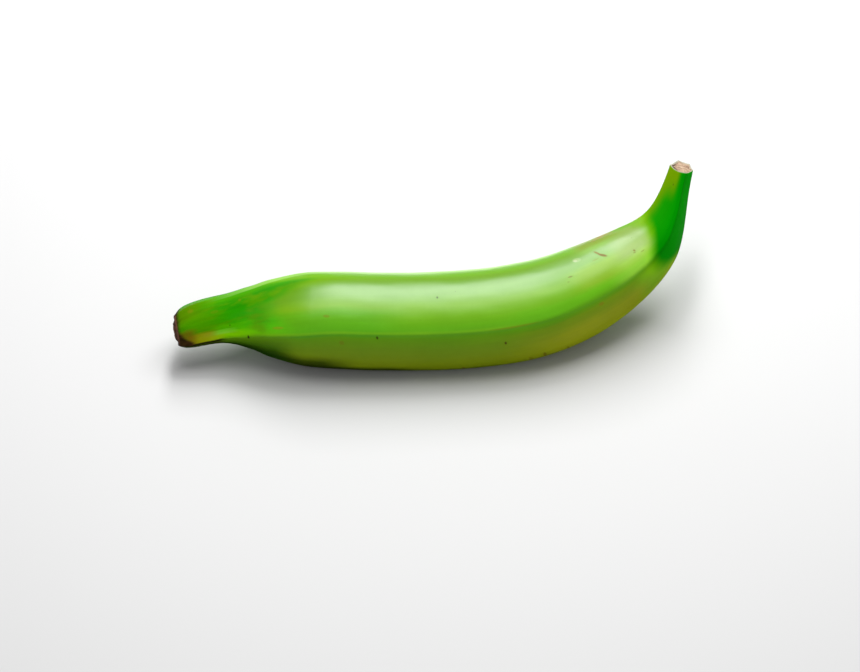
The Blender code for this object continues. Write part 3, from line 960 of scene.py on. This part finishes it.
shader, start = new_finish("dried blossom scar")
mapped = start.add("UVMap", {"uv_map": "peel_map"}, {})
from_middle = start.add("VectorMath", {"operation": "LENGTH"}, {0: mapped}, output=1)
crust = start.add("TexNoise", {}, {"Vector": mapped, **SCAR_CRUST})
colour = start.add("ValToRGB", {"stops": SCAR_BROWNS}, {0: crust})
colour = laid_over(colour, SCAR_STUB, up_to, from_middle, crust)
colour = laid_over(colour, SCAR_EDGE, beyond, from_middle, crust)
colour = laid_over(colour, SCAR_UPPER_SIDE, beyond, part_of(mapped, 1), crust)
bump = start.add("Bump", {}, {**SCAR_BUMP, "Height": crust})
colour.feed(shader, "Base Color")
(SCAR_BASE_ROUGHNESS + crust * SCAR_CRUST_ROUGHNESS).feed(shader, "Roughness")
bump.feed(shader, "Normal")

shader, start = new_finish("cut pith")
mapped = start.add("UVMap", {"uv_map": "peel_map"}, {})
from_middle = start.add("VectorMath", {"operation": "LENGTH"}, {0: mapped}, output=1)
strands = start.add("TexNoise", {}, {"Vector": scaled(mapped, STRAND_STRETCH), **PITH_STRANDS})
fine = start.add("TexNoise", {}, {"Vector": mapped, **PITH_GRAIN})
colour = start.add("ValToRGB", {"stops": PITH_BROWNS}, {0: strands})
colour = laid_over(colour, PITH_RIM, beyond, from_middle, fine)
gap_way = part_of(mapped, 0) * GAP_INWARDS + part_of(mapped, 1) * GAP_UPWARDS
gap_side = beyond(gap_way + (fine - 0.5) * GAP_RAGGED, GAP_LIMIT, GAP_SOFTNESS)
gap_shows = GAP_FAINT + gap_side * (1 - GAP_FAINT)
# painted shade in the groove between the pith and the rim of peel
colour = laid_over(colour, PITH_GAP_SHADE, band, from_middle, fine, gap_shows)
colour = laid_over(colour, PITH_EDGE, beyond, from_middle, fine)
bump = start.add("Bump", {}, {**PITH_BUMP, "Height": strands + fine * GRAIN_HEIGHT})
colour.feed(shader, "Base Color")
(PITH_BASE_ROUGHNESS + fine * PITH_GRAIN_ROUGHNESS).feed(shader, "Roughness")
bump.feed(shader, "Normal")

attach(fruit, "root")
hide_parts("plantain")

# ---- Floor and light ---------------------------------------------------------------------------------
# A wide matt floor, a plain pale surround, and two soft lamps above and a little behind the fruit: a
# narrow bright one, which draws the long highlight, and a broad weak one that softens its edge.
FLOOR_SIZE = 40.0
FLOOR_COLOUR = (0.62, 0.62, 0.62, 1.0)
FLOOR_ROUGHNESS = 0.8
SURROUND = 0.35
LAMP_DISTANCE = 0.8
# Each lamp's height above the floor behind and its turn to the right, in degrees, then its width, depth
# and power.
LAMPS = (
    (57.0, -0.5, 0.185, 0.567, 6.0),
    (83.8, 10.0, 0.346, 0.848, 4.7),
)
LAMP_AIM = Vector((0.0, 0.0, 0.02))
# Two weak white cards draw its pale upper edge: one stands behind it to the left, and one lies on the
# floor close behind. Each one's place, how far it is tipped back, its width and height, and its power.
CARDS = (
    ((-0.42, 0.90, 0.28), 90.0, 0.50, 0.55, 1.00),
    ((-0.02, 0.085, 0.003), 180.0, 0.42, 0.09, 0.26),
)

bpy.ops.object.select_all(action="DESELECT")
bpy.ops.mesh.primitive_plane_add(size=FLOOR_SIZE)
floor = bpy.context.object
floor.name = "floor"
paint = bpy.data.materials.new("pale floor")
paint.use_nodes = True
painted = paint.node_tree.nodes["Principled BSDF"]
painted.inputs["Base Color"].default_value = FLOOR_COLOUR
painted.inputs["Roughness"].default_value = FLOOR_ROUGHNESS
floor.data.materials.append(paint)
floor.visible_glossy = False

world = bpy.data.worlds.new("studio")
bpy.context.scene.world = world
world.use_nodes = True
surround = world.node_tree.nodes["Background"]
surround.inputs["Color"].default_value = (1.0, 1.0, 1.0, 1.0)
surround.inputs["Strength"].default_value = SURROUND
world.cycles_visibility.glossy = False

for degrees_up, degrees_right, width, depth, power in LAMPS:
    rise, side = math.radians(degrees_up), math.radians(degrees_right)
    towards = Vector((math.sin(side), math.cos(side) * math.cos(rise), math.cos(side) * math.sin(rise)))
    bpy.ops.object.light_add(type="AREA", location=LAMP_AIM + LAMP_DISTANCE * towards)
    lamp = bpy.context.object
    lamp.data.shape = "RECTANGLE"
    lamp.data.size, lamp.data.size_y = width, depth
    lamp.data.energy = power
    lamp.rotation_mode = "QUATERNION"
    lamp.rotation_quaternion = (-towards).to_track_quat("-Z", "Y")

for card_place, tipped, width, height, power in CARDS:
    bpy.ops.object.light_add(type="AREA", location=card_place, rotation=(math.radians(-tipped), 0, 0))
    card = bpy.context.object
    card.data.shape = "RECTANGLE"
    card.data.size, card.data.size_y = width, height
    card.data.energy = power
    card.visible_camera = False

bpy.context.scene.view_settings.view_transform = "Standard"
